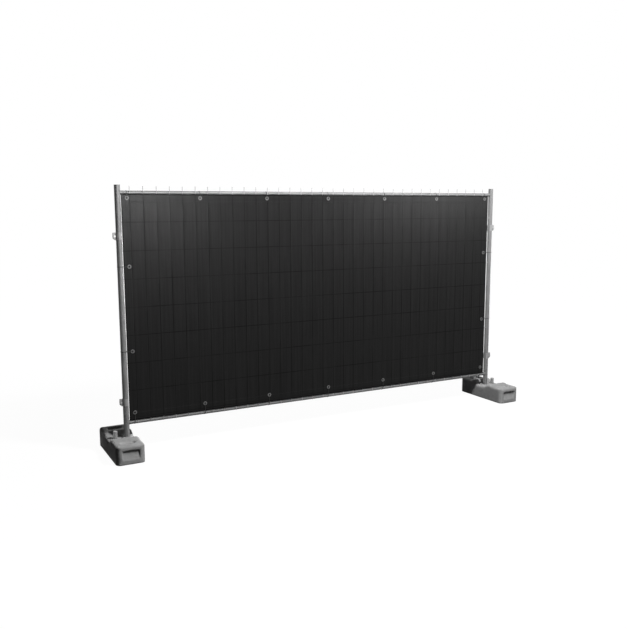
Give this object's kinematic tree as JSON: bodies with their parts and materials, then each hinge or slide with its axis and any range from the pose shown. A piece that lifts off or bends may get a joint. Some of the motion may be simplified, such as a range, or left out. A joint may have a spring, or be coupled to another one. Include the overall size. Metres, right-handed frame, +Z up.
{
  "type": "temporary construction fence",
  "caption": "Free-standing welded mesh site fence panel with a black privacy screen, steel uprights and rails, post couplers and two heavy block feet.",
  "frame": {"origin": "on the ground, midway between the uprights and across the feet", "axes": "+X along the fence to the right seen from the screened side, +Y through the fence away from the screen, +Z up"},
  "size_m": [3.7536, 0.58, 1.9792],
  "materials": {
    "galvanised_tube": "hot-dip galvanised, satin",
    "mesh_wire": "galvanised wire",
    "screen_fabric": "black knitted polyethylene, faint sheen",
    "eyelet_metal": "pressed",
    "tie_nylon": "moulded nylon",
    "foot_block": "moulded shell filled with concrete, dusty",
    "cap_plastic": "moulded",
    "coupler_zinc": "zinc plated pressing",
    "bolt_zinc": "zinc plated",
    "spigot_steel": "galvanised, worn"
  },
  "bodies": {
    "root": {"left_upright": "galvanised_tube", "right_upright": "galvanised_tube", "left_cap": "cap_plastic", "right_cap": "cap_plastic", "top_rail": "galvanised_tube", "bottom_rail": "galvanised_tube", "mesh_panel": "mesh_wire", "privacy_screen": "screen_fabric", "eyelets_top": "eyelet_metal", "eyelets_bottom": "eyelet_metal", "eyelets_left": "eyelet_metal", "eyelets_right": "eyelet_metal", "ties_top": "tie_nylon", "ties_bottom": "tie_nylon", "ties_left": "tie_nylon", "ties_right": "tie_nylon", "left_foot": "foot_block", "right_foot": "foot_block", "left_spigots": "spigot_steel", "right_spigots": "spigot_steel", "left_upper_coupler_front": "coupler_zinc", "left_upper_coupler_back": "coupler_zinc", "left_upper_bolt": "bolt_zinc", "left_lower_coupler_front": "coupler_zinc", "left_lower_coupler_back": "coupler_zinc", "left_lower_bolt": "bolt_zinc", "right_upper_coupler_front": "coupler_zinc", "right_upper_coupler_back": "coupler_zinc", "right_upper_bolt": "bolt_zinc", "right_lower_coupler_front": "coupler_zinc", "right_lower_coupler_back": "coupler_zinc", "right_lower_bolt": "bolt_zinc"}
  },
  "joints": []
}
